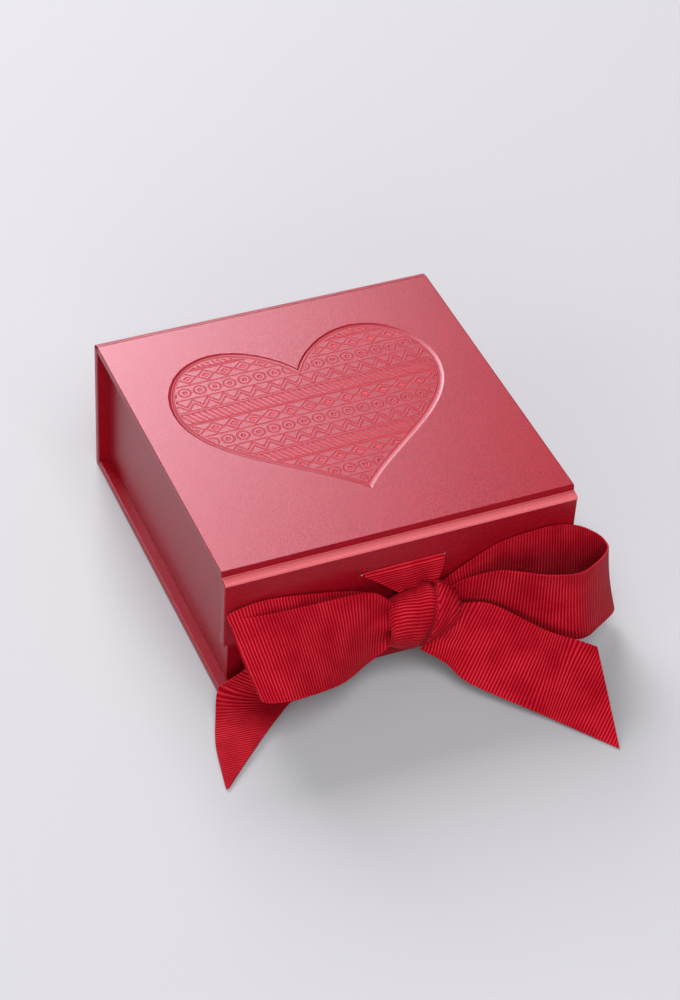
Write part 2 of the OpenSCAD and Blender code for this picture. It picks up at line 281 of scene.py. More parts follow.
@dataclass(frozen=True)
class PearlPaper:
    """Red cover paper with a pearl shimmer and a fine felt grain."""

    name: str = "pearl_paper"
    deep: Colour = (0.12, 0.001, 0.004)
    bright: Colour = (0.225, 0.002, 0.007)
    grain_mm: float = 0.6
    cloud_scale: float = 0.035
    relief_mm: float = 0.045
    rough: float = 0.32

    def surface(self, bench: Bench) -> tuple[Socket, Tone, Tone]:
        """Lays out the bare paper.

        Args:
            bench: where the nodes go.

        Returns:
            Colour, roughness and relief.
        """
        place = bench.place()
        felt = bench.noise(place, 1/self.grain_mm, 3.0, 0.6)
        flecks = bench.noise(place, 3.1/self.grain_mm, 1.0)
        cloud = bench.noise(place, self.cloud_scale, 2.0)
        share = (felt*0.85 + cloud*0.12 + 0.015).rise(0.2, 0.8)
        colour = bench.mix(share, self.deep, self.bright)
        rough = felt*0.10 + flecks*0.08 + (self.rough - 0.09)
        return colour, rough, felt*0.7 + flecks*0.3

    def constants(self) -> dict[str, object]:
        """Gives the shader's values that are the same all over."""
        return {"Specular IOR Level": 0.34, "Specular Tint": (1.0, 0.58, 0.76, 1.0), "Sheen Weight": 0.01,
                "Sheen Roughness": 0.35, "Sheen Tint": (1.0, 0.45, 0.60, 1.0)}

    def make(self) -> bpy.types.Material:
        """Makes the material."""
        bench = Bench(self.name)
        colour, rough, height = self.surface(bench)
        return bench.cover(colour, rough, height, self.relief_mm, self.constants())


@dataclass(frozen=True)
class PaintedHighlightPaper(PearlPaper):
    """The same paper with a painted highlight: paler over the flap's top, where the lamps' glare would fall
    on the bent paper.
    """

    name: str = "pearl_paper_painted_highlight"
    # colour of the painted highlight along the flap's top
    pale: Colour = (0.48, 0.10, 0.11)
    pale_below_mm: float = 46.97
    soft_mm: float = 0.05

    def surface(self, bench: Bench) -> tuple[Socket, Tone, Tone]:
        """Lays out the paper with a painted highlight along the flap's top.

        Args:
            bench: where the nodes go.

        Returns:
            Colour, roughness and relief.
        """
        colour, rough, height = super().surface(bench)
        _, _, level = bench.split(bench.place())
        # painted highlight: below a height on the flap's top the paper is mixed towards the pale colour,
        # standing in for the lamps' glare
        fold = 1.0 - level.rise(self.pale_below_mm - self.soft_mm, self.pale_below_mm + self.soft_mm)
        return bench.mix(fold*(height*0.6 + 0.5), colour, self.pale), rough, height


@dataclass(frozen=True)
class Row:
    """One row of the stamp: where it starts and ends across the rows, and its motif's pitch."""

    low_mm: float
    high_mm: float
    pitch_mm: float
    soft_mm: float = 0.1

    def middle(self) -> float:
        """Gives the row's middle."""
        return (self.low_mm + self.high_mm)/2

    def mask(self, across: Tone) -> Tone:
        """Masks the row.

        Args:
            across: place across the rows.

        Returns:
            1 in the row and 0 beside it.
        """
        start = across.rise(self.low_mm - self.soft_mm, self.low_mm + self.soft_mm)
        return start*(1.0 - across.rise(self.high_mm - self.soft_mm, self.high_mm + self.soft_mm))


@dataclass(frozen=True)
class PressedHeartPaper(PearlPaper):
    """The same paper, stamped with level rows of simple motifs inside a border line."""

    name: str = "glossed_paper"
    gloss: Colour = (0.40, 0.002, 0.009)
    centre_mm: tuple[float, float] = (0.0, 0.0)
    line_mm: float = 0.42
    stamp_mm: float = 0.6
    repeat_mm: float = 24.0
    first_row_mm: float = 36.5
    zigzags_row: Row = Row(0.5, 5.1, 5.0)
    rings_row: Row = Row(6.2, 11.4, 4.8)
    diamonds_row: Row = Row(12.3, 17.5, 6.0)
    bars_row: Row = Row(18.9, 22.9, 1.8)
    rules_mm: tuple[float, ...] = (0.1, 5.6, 11.9, 17.9, 18.6, 23.3)
    zigzag_swing_mm: float = 1.5
    zigzag_gap_mm: float = 1.7
    ring_mm: float = 1.85
    dot_mm: tuple[float, float] = (0.45, 0.75)
    diamond_mm: float = 2.5
    bar_slant: float = 0.6
    border_mm: float = 1.5
    field_mm: tuple[float, float] = (2.2, 2.4)

    def zigzags(self, x: Tone, across: Tone) -> Tone:
        """Draws two zigzag lines."""
        row = self.zigzags_row
        swing = (x/row.pitch_mm).wave()*(4*self.zigzag_swing_mm) - self.zigzag_swing_mm
        away = abs(across - row.middle() - swing)
        return away.stroke(self.zigzag_gap_mm/2, self.line_mm*1.5)*row.mask(across)

    def rings(self, x: Tone, across: Tone) -> Tone:
        """Draws rings with a dot in each."""
        row = self.rings_row
        side = (x/row.pitch_mm).wave()*row.pitch_mm
        level = across - row.middle()
        away = (side*side + level*level).math("SQRT")
        dot = 1.0 - away.rise(*self.dot_mm)
        return away.stroke(self.ring_mm, self.line_mm).math("MAXIMUM", dot)*row.mask(across)

    def diamonds(self, x: Tone, across: Tone) -> Tone:
        """Draws diamonds inside diamonds."""
        row = self.diamonds_row
        away = (x/row.pitch_mm).wave()*2.0 + abs(across - row.middle())/self.diamond_mm
        core = 1.0 - away.rise(0.34, 0.46)
        return away.stroke(0.93, 0.24).math("MAXIMUM", core)*row.mask(across)

    def bars(self, x: Tone, across: Tone) -> Tone:
        """Draws slanting bars."""
        row = self.bars_row
        return ((x + across*self.bar_slant)/row.pitch_mm).wave().rise(0.26, 0.36)*row.mask(across)

    def motifs(self, bench: Bench) -> Tone:
        """Draws all strokes of the stamp.

        Args:
            bench: where the nodes go.

        Returns:
            1 on the strokes and 0 beside them.
        """
        shift = (-self.centre_mm[0], self.first_row_mm - self.centre_mm[1], 0.0)
        x, y, _ = bench.split(bench.place(shift=shift))
        inset = Tone(bench, bench.node("ShaderNodeAttribute", {"attribute_name": "inset_mm"}).outputs["Fac"])
        across = (y/self.repeat_mm).math("FRACT")*self.repeat_mm
        strokes = self.zigzags(x, across)
        for part in (self.rings(x, across), self.diamonds(x, across), self.bars(x, across)):
            strokes = strokes.math("MAXIMUM", part)
        for place in self.rules_mm:
            strokes = strokes.math("MAXIMUM", across.stroke(place, self.line_mm))
        border = inset.stroke(self.border_mm, self.line_mm*1.2)
        return (strokes*inset.rise(*self.field_mm)).math("MAXIMUM", border)

    def make(self) -> bpy.types.Material:
        """Makes the material."""
        bench = Bench(self.name)
        colour, rough, height = self.surface(bench)
        strokes = self.motifs(bench)
        colour = bench.mix(strokes*0.7, colour, self.gloss)
        rough = rough + strokes*0.2
        relief = height*(self.relief_mm/self.stamp_mm) - strokes
        return bench.cover(colour, rough, relief, self.stamp_mm, self.constants())


@dataclass(frozen=True)
class PlainPaper:
    """Uncoated paper or board with fibres, for linings, boards and tapes."""

    name: str
    deep: Colour
    bright: Colour
    fibre_mm: float = 0.8
    stretch: float = 1.0
    relief_mm: float = 0.03
    rough: float = 0.8

    def make(self) -> bpy.types.Material:
        """Makes the material."""
        bench = Bench(self.name)
        fibres = bench.noise(bench.place((1000.0/self.stretch, 1000.0, 1000.0)), 1/self.fibre_mm, 4.0, 0.65)
        specks = bench.noise(bench.place(), 0.9/self.fibre_mm, 1.0).rise(0.66, 0.72)
        colour = bench.mix((fibres.rise(0.3, 0.7) - specks*0.5).rise(0.0, 1.0), self.deep, self.bright)
        return bench.cover(colour, fibres*0.12 + (self.rough - 0.06), fibres, self.relief_mm, {"IOR": 1.45})


@dataclass(frozen=True)
class PlatedSteel:
    """Nickel-plated steel with turning marks."""

    name: str = "plated_steel"
    colour: Colour = (0.66, 0.67, 0.69)

    def make(self) -> bpy.types.Material:
        """Makes the material."""
        bench = Bench(self.name)
        streaks = bench.noise(bench.place((1000.0, 1000.0, 90.0)), 2.5, 3.0)
        colour = bench.mix(streaks, tuple(part*0.86 for part in self.colour), self.colour)
        return bench.cover(colour, streaks*0.15 + 0.22, streaks, 0.01, {"Metallic": 1.0})


@dataclass(frozen=True)
class Grosgrain:
    """Ribbed ribbon: round ribs across its width, fine warp threads and a tight edge, with painted shade in
    the rib valleys and painted glints on the crests.
    """

    name: str = "grosgrain"
    deep: Colour = (0.10, 0.0, 0.002)
    bright: Colour = (0.30, 0.0, 0.008)
    # colour of the painted glints on the rib crests
    painted_glint_colour: Colour = (0.46, 0.045, 0.050)
    rib_mm: float = 0.95
    warp_mm: float = 0.36
    relief_mm: float = 0.24

    def make(self) -> bpy.types.Material:
        """Makes the material."""
        bench = Bench(self.name)
        run = bench.node("ShaderNodeUVMap", {"uv_map": "run"}).outputs[0]
        across, along, _ = bench.split(run)
        wander = bench.noise(bench.place(), 0.35, 1.0)*0.22
        rib = (along/self.rib_mm + wander).wave()*2.0
        crest = (1.0 - rib*rib).math("SQRT")
        warp = (across*(RIBBON_MM/self.warp_mm)).wave()*2.0
        edge = abs(across - 0.5).rise(0.478, 0.488)
        cloud = bench.noise(bench.place(), 0.12, 3.0)
        # the rib valleys are painted darker than the crests, as painted shade; the warp and the cloud add the
        # cloth's own tone
        share = (crest*0.55 + warp*0.10 + cloud*0.5 - 0.15).rise(0.0, 1.0)
        # painted glints: a pale colour mixed in along the tops of the ribs, stronger in patches
        painted_glint = crest.rise(0.90, 0.99)*(cloud.rise(0.3, 0.7)*0.35 + 0.15)*(warp*0.4 + 0.6)
        colour = bench.mix(painted_glint, bench.mix(share, self.deep, self.bright), self.painted_glint_colour)
        height = (crest*0.85 + warp*0.12)*(1.0 - edge*0.6) + edge*0.4
        rough = 0.50 + cloud*0.12 + (1.0 - crest)*0.2
        return bench.cover(colour, rough, height, self.relief_mm,
                           {"Specular IOR Level": 0.1, "Specular Tint": (1.0, 0.25, 0.35, 1.0),
                            "Sheen Weight": 0.04, "Sheen Roughness": 0.3,
                            "Sheen Tint": (1.0, 0.10, 0.20, 1.0)})


@dataclass(frozen=True)
class TableTop:
    """Matt pale table."""

    name: str = "table_top"
    colour: Colour = (0.300, 0.298, 0.312)

    def make(self) -> bpy.types.Material:
        """Makes the material."""
        bench = Bench(self.name)
        cloud = bench.noise(bench.place(), 0.004, 2.0)
        colour = bench.mix(cloud, tuple(part*0.985 for part in self.colour), self.colour)
        return bench.cover(colour, cloud*0.05 + 0.6, cloud, 0.001, {"Specular IOR Level": 0.1})


def deselect() -> None:
    """Leaves object mode with nothing selected."""
    if bpy.context.object and bpy.context.object.mode != "OBJECT":
        bpy.ops.object.mode_set(mode="OBJECT")
    bpy.ops.object.select_all(action="DESELECT")


def take(piece: bpy.types.Object) -> None:
    """Makes a piece the only selected one."""
    deselect()
    piece.select_set(True)
    bpy.context.view_layer.objects.active = piece


def pick_edges(piece: bpy.types.Object, wanted: Callable[[Vector, Vector], bool]) -> int:
    """Selects the edges of a piece by where their ends are.

    Args:
        piece: a mesh piece in object mode.
        wanted: test on the two ends.

    Returns:
        How many edges were selected.
    """
    mesh = piece.data
    for part in (*mesh.vertices, *mesh.edges, *mesh.polygons):
        part.select = False
    chosen = [edge for edge in mesh.edges if wanted(*(mesh.vertices[index].co for index in edge.vertices))]
    for edge in chosen:
        edge.select = True
        for index in edge.vertices:
            mesh.vertices[index].select = True
    return len(chosen)


def dress(piece: bpy.types.Object, material: bpy.types.Material) -> None:
    """Gives a piece its finish.

    Args:
        piece: the piece or carried node.
        material: its material.
    """
    piece.data.materials.clear()
    piece.data.materials.append(material)


def merged_copy(node: str, name: str) -> bpy.types.Object:
    """Copies a carried node as one clean shell.

    Args:
        node: the carried node.
        name: name of the copy.

    Returns:
        The copy, with its loose triangles joined to flat faces.
    """
    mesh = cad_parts[node].data.copy()
    mesh.name = name
    piece = bpy.data.objects.new(name, mesh)
    bpy.context.scene.collection.objects.link(piece)
    take(piece)
    bpy.ops.object.mode_set(mode="EDIT")
    bpy.ops.mesh.select_all(action="SELECT")
    bpy.ops.mesh.remove_doubles(threshold=HAIR)
    bpy.ops.mesh.dissolve_limited(angle_limit=math.radians(0.5))
    bpy.ops.object.mode_set(mode="OBJECT")
    if mesh.has_custom_normals:
        bpy.ops.mesh.customdata_custom_splitnormals_clear()
    return piece


@dataclass
class WrappedCover:
    """A cover's paper, with the rounded edges that paper has where it turns round a board."""

    node: str
    body: Body
    edge_mm: float = 0.42
    steps: int = 3

    def build(self, material: bpy.types.Material) -> bpy.types.Object:
        """Builds the rounded paper in place of the carried node.

        Args:
            material: the cover paper.

        Returns:
            The new piece.
        """
        piece = merged_copy(self.node, self.node + "_rounded")
        low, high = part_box(self.node)

        def planes(point: Vector) -> set[tuple[int, int]]:
            """Names the sides of the box on which a point lies."""
            near = set()
            for axis in range(3):
                if abs(point[axis] - low[axis]) < 2*HAIR:
                    near.add((axis, 0))
                if abs(point[axis] - high[axis]) < 2*HAIR:
                    near.add((axis, 1))
            return near

        count = pick_edges(piece, lambda one, two: len(planes(one) & planes(two)) >= 2)
        bpy.ops.object.mode_set(mode="EDIT")
        bpy.ops.mesh.select_mode(type="EDGE")
        bpy.ops.mesh.bevel(offset=self.edge_mm*MM, segments=self.steps, affect="EDGES")
        bpy.ops.object.mode_set(mode="OBJECT")
        bpy.ops.object.shade_smooth_by_angle(angle=math.radians(50))
        even = piece.modifiers.new("flat_faces", "WEIGHTED_NORMAL")
        even.weight = 100
        even.keep_sharp = True
        bpy.ops.object.modifier_apply(modifier=even.name)
        dress(piece, material)
        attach(piece, self.body.value)
        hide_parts(self.node)
        LOG.info("%s: %d edges rounded", piece.name, count)
        return piece


@dataclass
class HingePaper:
    """Paper bent to the shape of the groove between two bodies."""

    node: str
    first: Body
    second: Body
    profile_mm: list[tuple[float, float]]
    start_mm: tuple[float, float]
    end_mm: tuple[float, float]
    half_mm: float = 54.9
    paper_mm: float = 0.18

    def build(self, material: bpy.types.Material) -> bpy.types.Object:
        """Builds the strip along its profile.

        Args:
            material: the cover paper.

        Returns:
            The new piece.
        """
        deselect()
        (y_one, z_one), (y_two, z_two) = self.profile_mm[:2]
        bpy.ops.mesh.primitive_plane_add(size=1, location=(0, 0, 0))
        piece = bpy.context.object
        piece.name = self.node + "_bending"
        corners = [(-1, y_one, z_one), (1, y_one, z_one), (-1, y_two, z_two), (1, y_two, z_two)]
        for vertex, (side, y, z) in zip(piece.data.vertices, corners):
            vertex.co = (side*self.half_mm*MM, y*MM, z*MM)
        for (y, z), (next_y, next_z) in zip(self.profile_mm[1:], self.profile_mm[2:]):
            here = Vector((y*MM, z*MM))
            pick_edges(piece, lambda one, two: (Vector(one.yz) - here).length < HAIR
                       and (Vector(two.yz) - here).length < HAIR)
            bpy.ops.object.mode_set(mode="EDIT")
            bpy.ops.mesh.select_mode(type="EDGE")
            bpy.ops.mesh.extrude_region_move(
                TRANSFORM_OT_translate={"value": (0, (next_y - y)*MM, (next_z - z)*MM)})
            bpy.ops.object.mode_set(mode="OBJECT")
        solid = piece.modifiers.new("paper", "SOLIDIFY")
        solid.thickness = self.paper_mm*MM
        solid.offset = 0
        bpy.ops.object.modifier_apply(modifier=solid.name)
        bpy.ops.object.mode_set(mode="EDIT")
        bpy.ops.mesh.select_all(action="SELECT")
        bpy.ops.mesh.normals_make_consistent(inside=False)
        bpy.ops.object.mode_set(mode="OBJECT")
        bpy.ops.object.shade_smooth_by_angle(angle=math.radians(50))
        dress(piece, material)
        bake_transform(piece)
        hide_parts(self.node)
        return piece


@dataclass
class Case:
    """Base, spine and lid covers with their boards and the papers of their hinges."""

    boards: tuple[str, ...] = ("base_board", "spine_board", "lid_board", "flap_board")
    linings: tuple[str, ...] = ("lid_lining", "flap_lining")
    covers: tuple[WrappedCover, ...] = (
        WrappedCover("base_wrap", Body.BOX), WrappedCover("spine_wrap", Body.BOX),
        WrappedCover("lid_wrap", Body.LID), WrappedCover("flap_wrap", Body.FLAP))
    spine_hinge: HingePaper = field(default_factory=lambda: HingePaper(
        "spine_hinge", Body.BOX, Body.LID,
        [(55.55, 46.7), (55.45, 47.2), (55.2, 47.6), (54.8, 47.95), (54.35, 48.2), (53.9, 48.4),
         (53.4, 48.55), (52.95, 48.62)], (55.3, 47.4), (53.3, 48.5)))
    flap_hinge: HingePaper = field(default_factory=lambda: HingePaper(
        "flap_hinge", Body.LID, Body.FLAP,
        [(-53.70, 48.6), (-53.72, 48.0), (-53.75, 47.4), (-53.80, 47.0), (-53.92, 46.80), (-54.12, 46.82),
         (-54.4, 46.88), (-54.9, 46.83), (-55.4, 46.74), (-55.9, 46.62), (-56.25, 46.50), (-56.5, 46.36),
         (-56.66, 46.12), (-56.71, 45.75)], (-53.72, 48.2), (-54.1, 46.8)))

    def build(self, pearl: bpy.types.Material, board: bpy.types.Material,
              lining: bpy.types.Material) -> list[bpy.types.Object]:
        """Builds the covers' papers and dresses what they hold.

        Args:
            pearl: cover paper.
            board: greyboard.
            lining: lining paper.

        Returns:
            The new pieces.
        """
        for node in self.boards:
            dress(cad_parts[node], board)
        for node in self.linings:
            dress(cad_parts[node], lining)
        pieces = [cover.build(pearl) for cover in self.covers]
        return pieces + [self.spine_hinge.build(pearl), self.flap_hinge.build(PaintedHighlightPaper().make())]


@dataclass
class Tray:
    """The fitted tray: boards, tapes, steel plates and papers."""

    boards: tuple[str, ...] = ("tray_floor", "tray_front_wall", "tray_back_wall", "tray_left_wall",
                               "tray_right_wall")

    def build(self, pearl: bpy.types.Material, board: bpy.types.Material, lining: bpy.types.Material,
              tape: bpy.types.Material, steel: bpy.types.Material) -> list[bpy.types.Object]:
        """Dresses the tray and rounds its paper.

        Args:
            pearl: cover paper.
            board: greyboard.
            lining: lining paper.
            tape: tape of the corners.
            steel: steel of the plates and magnets.

        Returns:
            The new pieces.
        """
        for node in self.boards:
            dress(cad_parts[node], board)
        dress(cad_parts["tray_lining"], lining)
        dress(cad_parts["tray_corner_stays"], tape)
        dress(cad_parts["tray_steel_plates"], steel)
        dress(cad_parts["flap_magnets"], steel)
        return [WrappedCover("tray_wrap", Body.BOX, 0.3, 2).build(pearl)]


@dataclass
class PressedHeart:
    """The heart that is pressed into the lid, as a dished panel of rings."""

    node: str = "heart_panel"
    rings: int = 26
    slope_mm: float = 0.7
    reach_mm: float = 36.0
    raise_mm: float = 2.0
    rim_mm: float = 48.985
    paper_mm: float = 0.2

    def outline(self) -> list[Vector]:
        """Gives the heart's outline at the top of the carried node."""
        low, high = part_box(self.node)
        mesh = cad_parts[self.node].data
        top = {(round(v.co.x, 7), round(v.co.y, 7)) for v in mesh.vertices if v.co.z > high.z - HAIR}
        middle = (low + high)/2
        return sorted((Vector(point) for point in top),
                      key=lambda point: math.atan2(point.x - middle.x, point.y - middle.y))

    def build(self) -> bpy.types.Object:
        """Builds the panel by extruding its face inwards, ring by ring.

        Returns:
            The new piece.
        """
        outline = self.outline()
        low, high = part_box(self.node)
        centre = Vector(((low.x + high.x)/2, (low.y + high.y)/2 + self.raise_mm*MM, self.rim_mm*MM))
        deselect()
        bpy.ops.mesh.primitive_circle_add(vertices=len(outline), radius=0.02, location=(0, 0, 0))
        piece = bpy.context.object
        piece.name = "heart_panel_pressed"
        circle = sorted(piece.data.vertices, key=lambda vertex: math.atan2(vertex.co.x, vertex.co.y))
        for vertex, point in zip(circle, outline):
            vertex.co = (point.x, point.y, self.rim_mm*MM)
        floor_z = high.z
        bpy.ops.object.mode_set(mode="EDIT")
        bpy.ops.mesh.select_mode(type="EDGE")
        bpy.ops.mesh.select_all(action="SELECT")
        shares = [1.0 - part*self.slope_mm/self.reach_mm for part in (0.0, 0.25, 0.75, 1.0)]
        drops = [0.0, 0.12, 0.88, 1.0]
        shares += [shares[-1]*(1.0 - step/self.rings) for step in range(1, self.rings)]
        drops += [1.0]*(self.rings - 1)
        depth = self.rim_mm*MM - floor_z
        for before, after, drop_before, drop in zip(shares, shares[1:], drops, drops[1:]):
            bpy.ops.mesh.extrude_region()
            share = after/before
            bpy.ops.transform.resize(value=(share, share, 1), center_override=centre)
            if drop != drop_before:
                bpy.ops.transform.translate(value=(0, 0, -depth*(drop - drop_before)))
        bpy.ops.mesh.edge_face_add()
        bpy.ops.mesh.select_all(action="SELECT")
        bpy.ops.mesh.normals_make_consistent(inside=False)
        bpy.ops.object.mode_set(mode="OBJECT")
        if sum(face.normal.z*face.area for face in piece.data.polygons) < 0:
            piece.data.flip_normals()
        solid = piece.modifiers.new("paper", "SOLIDIFY")
        solid.thickness = self.paper_mm*MM
        solid.offset = -1
        bpy.ops.object.modifier_apply(modifier=solid.name)
        bpy.ops.object.shade_smooth_by_angle(angle=math.radians(60))
        self.mark_inset(piece, outline)
        material = PressedHeartPaper(centre_mm=(centre.x/MM, centre.y/MM)).make()
        dress(piece, material)
        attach(piece, Body.LID.value)
        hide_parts(self.node)
        return piece

    @staticmethod
    def mark_inset(piece: bpy.types.Object, outline: list[Vector]) -> None:
        """Writes each point's distance from the outline into the mesh.

        Args:
            piece: the panel.
            outline: the closed outline.
        """
        marks = piece.data.attributes.new("inset_mm", "FLOAT", "POINT")
        sides = list(zip(outline, outline[1:] + outline[:1]))
        for vertex, mark in zip(piece.data.vertices, marks.data):
            point = vertex.co.xy
            best = 1.0
            for one, two in sides:
                run = two - one
                share = max(0.0, min(1.0, (point - one).dot(run)/run.length_squared))
                best = min(best, (one + run*share - point).length)
            mark.value = best/MM


Station = tuple[Point, Point, float]


@dataclass
class RibbonRun:
    """One stretch of the ribbon: a band between two edges that pass through stations."""

    name: str
    held: str
    stations: list[Station]
    pleats: float = 2.0
    pleat_mm: float = 1.1
    crown_mm: float = 0.5
    steps: int = 10
    columns: int = 24
    smooth: bool = True
    cut_from: int = 99
    squareness: float = 0.0
    cloth_mm: float = 0.5
    ripple_mm: float = 0.18
    ripple_turn: float = 0.22
    ripple_skew: float = 2.4

    def edges(self, station: Station) -> tuple[Vector, Vector]:
        """Turns a station into the two ends of its row.

        Args:
            station: place of one edge, direction to the other and width, all as shares.

        Returns:
            The two ends in millimetres.
        """
        place, way, share = station
        first = Vector((KNOT_X_MM + place[0]*RIBBON_MM, FLAP_FRONT_MM - place[1]*RIBBON_MM,
                        place[2]*KNOT_Z_MM))
        return first, first + Vector(way).normalized()*share*RIBBON_MM

    @staticmethod
    def between(points: list[Vector], steps: int, smooth: bool) -> list[Vector]:
        """Runs a curve through points.

        Args:
            points: what it passes through.
            steps: pieces in each stretch.
            smooth: whether it is rounded.

        Returns:
            The finer row of points.
        """
        whole = [points[0]*2 - points[1], *points, points[-1]*2 - points[-2]]
        run = []
        for a, b, c, d in zip(whole, whole[1:], whole[2:], whole[3:]):
            for step in range(steps):
                t = step/steps
                if smooth:
                    run.append((b*2 + (c - a)*t + (a*2 - b*5 + c*4 - d)*t*t + (b*3 - a - c*3 + d)*t*t*t)/2)
                else:
                    run.append(b.lerp(c, t))
        return run + [points[-1]]

    def rows(self) -> list[tuple[Vector, Vector]]:
        """Gives the two ends of every row of the fine band."""
        ends = [self.edges(station) for station in self.stations]
        firsts = self.between([end[0] for end in ends], self.steps, self.smooth)
        seconds = self.between([end[1] for end in ends], self.steps, self.smooth)
        return list(zip(firsts, seconds))

    def relief(self, across: float, share: float, along: float) -> float:
        """Gives how far a point stands proud of the straight row.

        Args:
            across: place across the ribbon, from 0 to 1.
            share: the row's width as a share of the ribbon's.
            along: place along the run in millimetres.

        Returns:
            The height in millimetres.
        """
        tight = max(0.0, min(1.0, (1.0 - share)/0.5))
        fold = math.sin(2*math.pi*(self.pleats*across + 0.15) + along*0.03)
        crown = math.sin(math.pi*across)*self.crown_mm*(1.0 - 0.5*tight)
        ripple = self.ripple_mm*math.sin(along*self.ripple_turn + across*self.ripple_skew)
        return fold*self.pleat_mm*tight + crown + ripple*(1.0 - tight)

    def build(self, material: bpy.types.Material) -> bpy.types.Object:
        """Builds the band as one sheet of cloth.

        Args:
            material: the ribbon's finish.

        Returns:
            The new piece.
        """
        rows = self.rows()
        middles = [(one + two)/2 for one, two in rows]
        points = []
        places = []
        length = 0.0
        for index, (one, two) in enumerate(rows):
            if index:
                length += (middles[index] - middles[index - 1]).length
            ahead = (middles[min(index + 1, len(rows) - 1)] - middles[max(index - 1, 0)]).normalized()
            out = ahead.cross(two - one).normalized()
            skew = (two - one).dot(ahead)*self.squareness
            share = (two - one).length/RIBBON_MM
            cut = share if index >= self.cut_from*self.steps else 1.0
            for column in range(self.columns + 1):
                across = column/self.columns*cut
                lift = self.relief(across, share if cut == 1.0 else 1.0, length)
                points.append((one.lerp(two, column/self.columns) + out*lift)*MM)
                places.append((across, length + skew*(column/self.columns - 0.5)))
        wide = self.columns + 1
        faces = [(row*wide + c, row*wide + c + 1, (row + 1)*wide + c + 1, (row + 1)*wide + c)
                 for row in range(len(rows) - 1) for c in range(self.columns)]
        area = sum((middles[i + 1] - middles[i]).length*((rows[i][1] - rows[i][0]).length
                   + (rows[i + 1][1] - rows[i + 1][0]).length)/2 for i in range(len(rows) - 1))
        return cloth_piece(self.name, points, faces, places, self.cloth_mm, material,
                           area)


def cloth_piece(name: str, points: list[Vector], faces: list[tuple[int, ...]],
                places: list[tuple[float, float]], cloth_mm: float, material: bpy.types.Material,
                area_mm: float) -> bpy.types.Object:
    """Makes a sheet of ribbon in place of its carried node.

    Args:
        name: the carried node's name.
        points: the sheet's points in metres.
        faces: its faces.
        places: place of each point on the flat ribbon.
        cloth_mm: thickness.
        material: the ribbon's finish.
        area_mm: area of the cut ribbon that this sheet takes up; not used.

    Returns:
        The new piece.
    """
    mesh = bpy.data.meshes.new(name + "_cloth")
    mesh.from_pydata(points, [], faces)
    layer = mesh.uv_layers.new(name="run")
    for loop, spot in zip(mesh.loops, layer.data):
        spot.uv = places[loop.vertex_index]
    piece = bpy.data.objects.new(name + "_cloth", mesh)
    bpy.context.scene.collection.objects.link(piece)
    take(piece)
    solid = piece.modifiers.new("cloth", "SOLIDIFY")
    solid.thickness = cloth_mm*MM
    solid.offset = 0
    bpy.ops.object.modifier_apply(modifier=solid.name)
    bpy.ops.object.shade_smooth_by_angle(angle=math.radians(60))
    dress(piece, material)
    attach(piece, Body.FLAP.value)
    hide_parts(name)
    area_mm*MM*MM
    return piece


@dataclass
class Knot:
    """The band that is drawn over the bow: upright ribs on its left, slanting ribs past a crease."""

    name: str = "ribbon_knot"
    centre: Point = (KNOT_X_MM, -62.3, KNOT_Z_MM)
    profile: tuple[tuple[float, float, float, float], ...] = (
        (-11.0, 0.0, 6.2, 4.2), (-10.2, 0.0, 7.6, 5.3), (-7.0, -0.3, 9.2, 5.9), (-3.0, -0.5, 10.2, 6.2),
        (1.0, 0.4, 10.6, 6.2), (4.5, 1.2, 10.2, 6.0), (8.0, 1.3, 8.4, 5.4), (10.4, 1.0, 6.0, 4.2),
        (11.4, 0.6, 4.0, 2.8))
    crease_mm: tuple[float, float] = (1.2, 2.6)
    # depth, place past the crease and width of each fold
    folds_mm: tuple[Point, ...] = ((1.5, 0.0, 1.0), (0.35, 5.0, 0.9), (0.3, -5.5, 0.8))
    mean_high_mm: float = 9.0
    mean_deep_mm: float = 5.8
    around: int = 96
    along: int = 60
    cloth_mm: float = 0.5

    def ring(self, share: float) -> tuple[float, float, float, float]:
        """Gives the ring at a share of the knot's width.

        Args:
            share: from 0 on the left to 1 on the right.

        Returns:
            Place along the knot, height of its middle, half height and half depth.
        """
        spot = share*(len(self.profile) - 1)
        index = min(int(spot), len(self.profile) - 2)
        rest = spot - index
        rest = rest*rest*(3 - 2*rest)*0.35 + rest*0.65
        return tuple(a + (b - a)*rest for a, b in zip(self.profile[index], self.profile[index + 1]))

    def build(self, material: bpy.types.Material) -> bpy.types.Object:
        """Builds the knot.

        Args:
            material: the ribbon's finish.

        Returns:
            The new piece.
        """
        points = []
        places = []
        middle = Vector(self.centre)
        for step in range(self.along + 1):
            share = step/self.along
            x, rise, high, deep = self.ring(share)
            for turn_step in range(self.around + 1):
                turn = 2*math.pi*turn_step/self.around
                off = x - (self.crease_mm[0] + self.crease_mm[1]*math.cos(turn))
                dip = sum(depth*math.exp(-((off - spot)/width)**2) for depth, spot, width in self.folds_mm)
                lift = 1.0 - dip/high
                y = -deep*lift*math.sin(turn)
                z = rise + high*lift*math.cos(turn)
                points.append((middle + Vector((x, y, z)))*MM)
                arc = -turn*(high + deep)/2
                slant = math.radians(80*min(1.0, max(0.0, (off + 0.8)/1.6)) - 20)
                places.append((share, arc*math.cos(slant) - x*math.sin(slant)))
        wide = self.around + 1
        faces = [(row*wide + c, (row + 1)*wide + c, (row + 1)*wide + c + 1, row*wide + c + 1)
                 for row in range(self.along) for c in range(self.around)]
        girth = 2*math.pi*math.sqrt((self.mean_high_mm**2 + self.mean_deep_mm**2)/2)
        reach = self.profile[-1][0] - self.profile[0][0]
        return cloth_piece(self.name, points, faces, places, self.cloth_mm, material,
                           reach*girth)


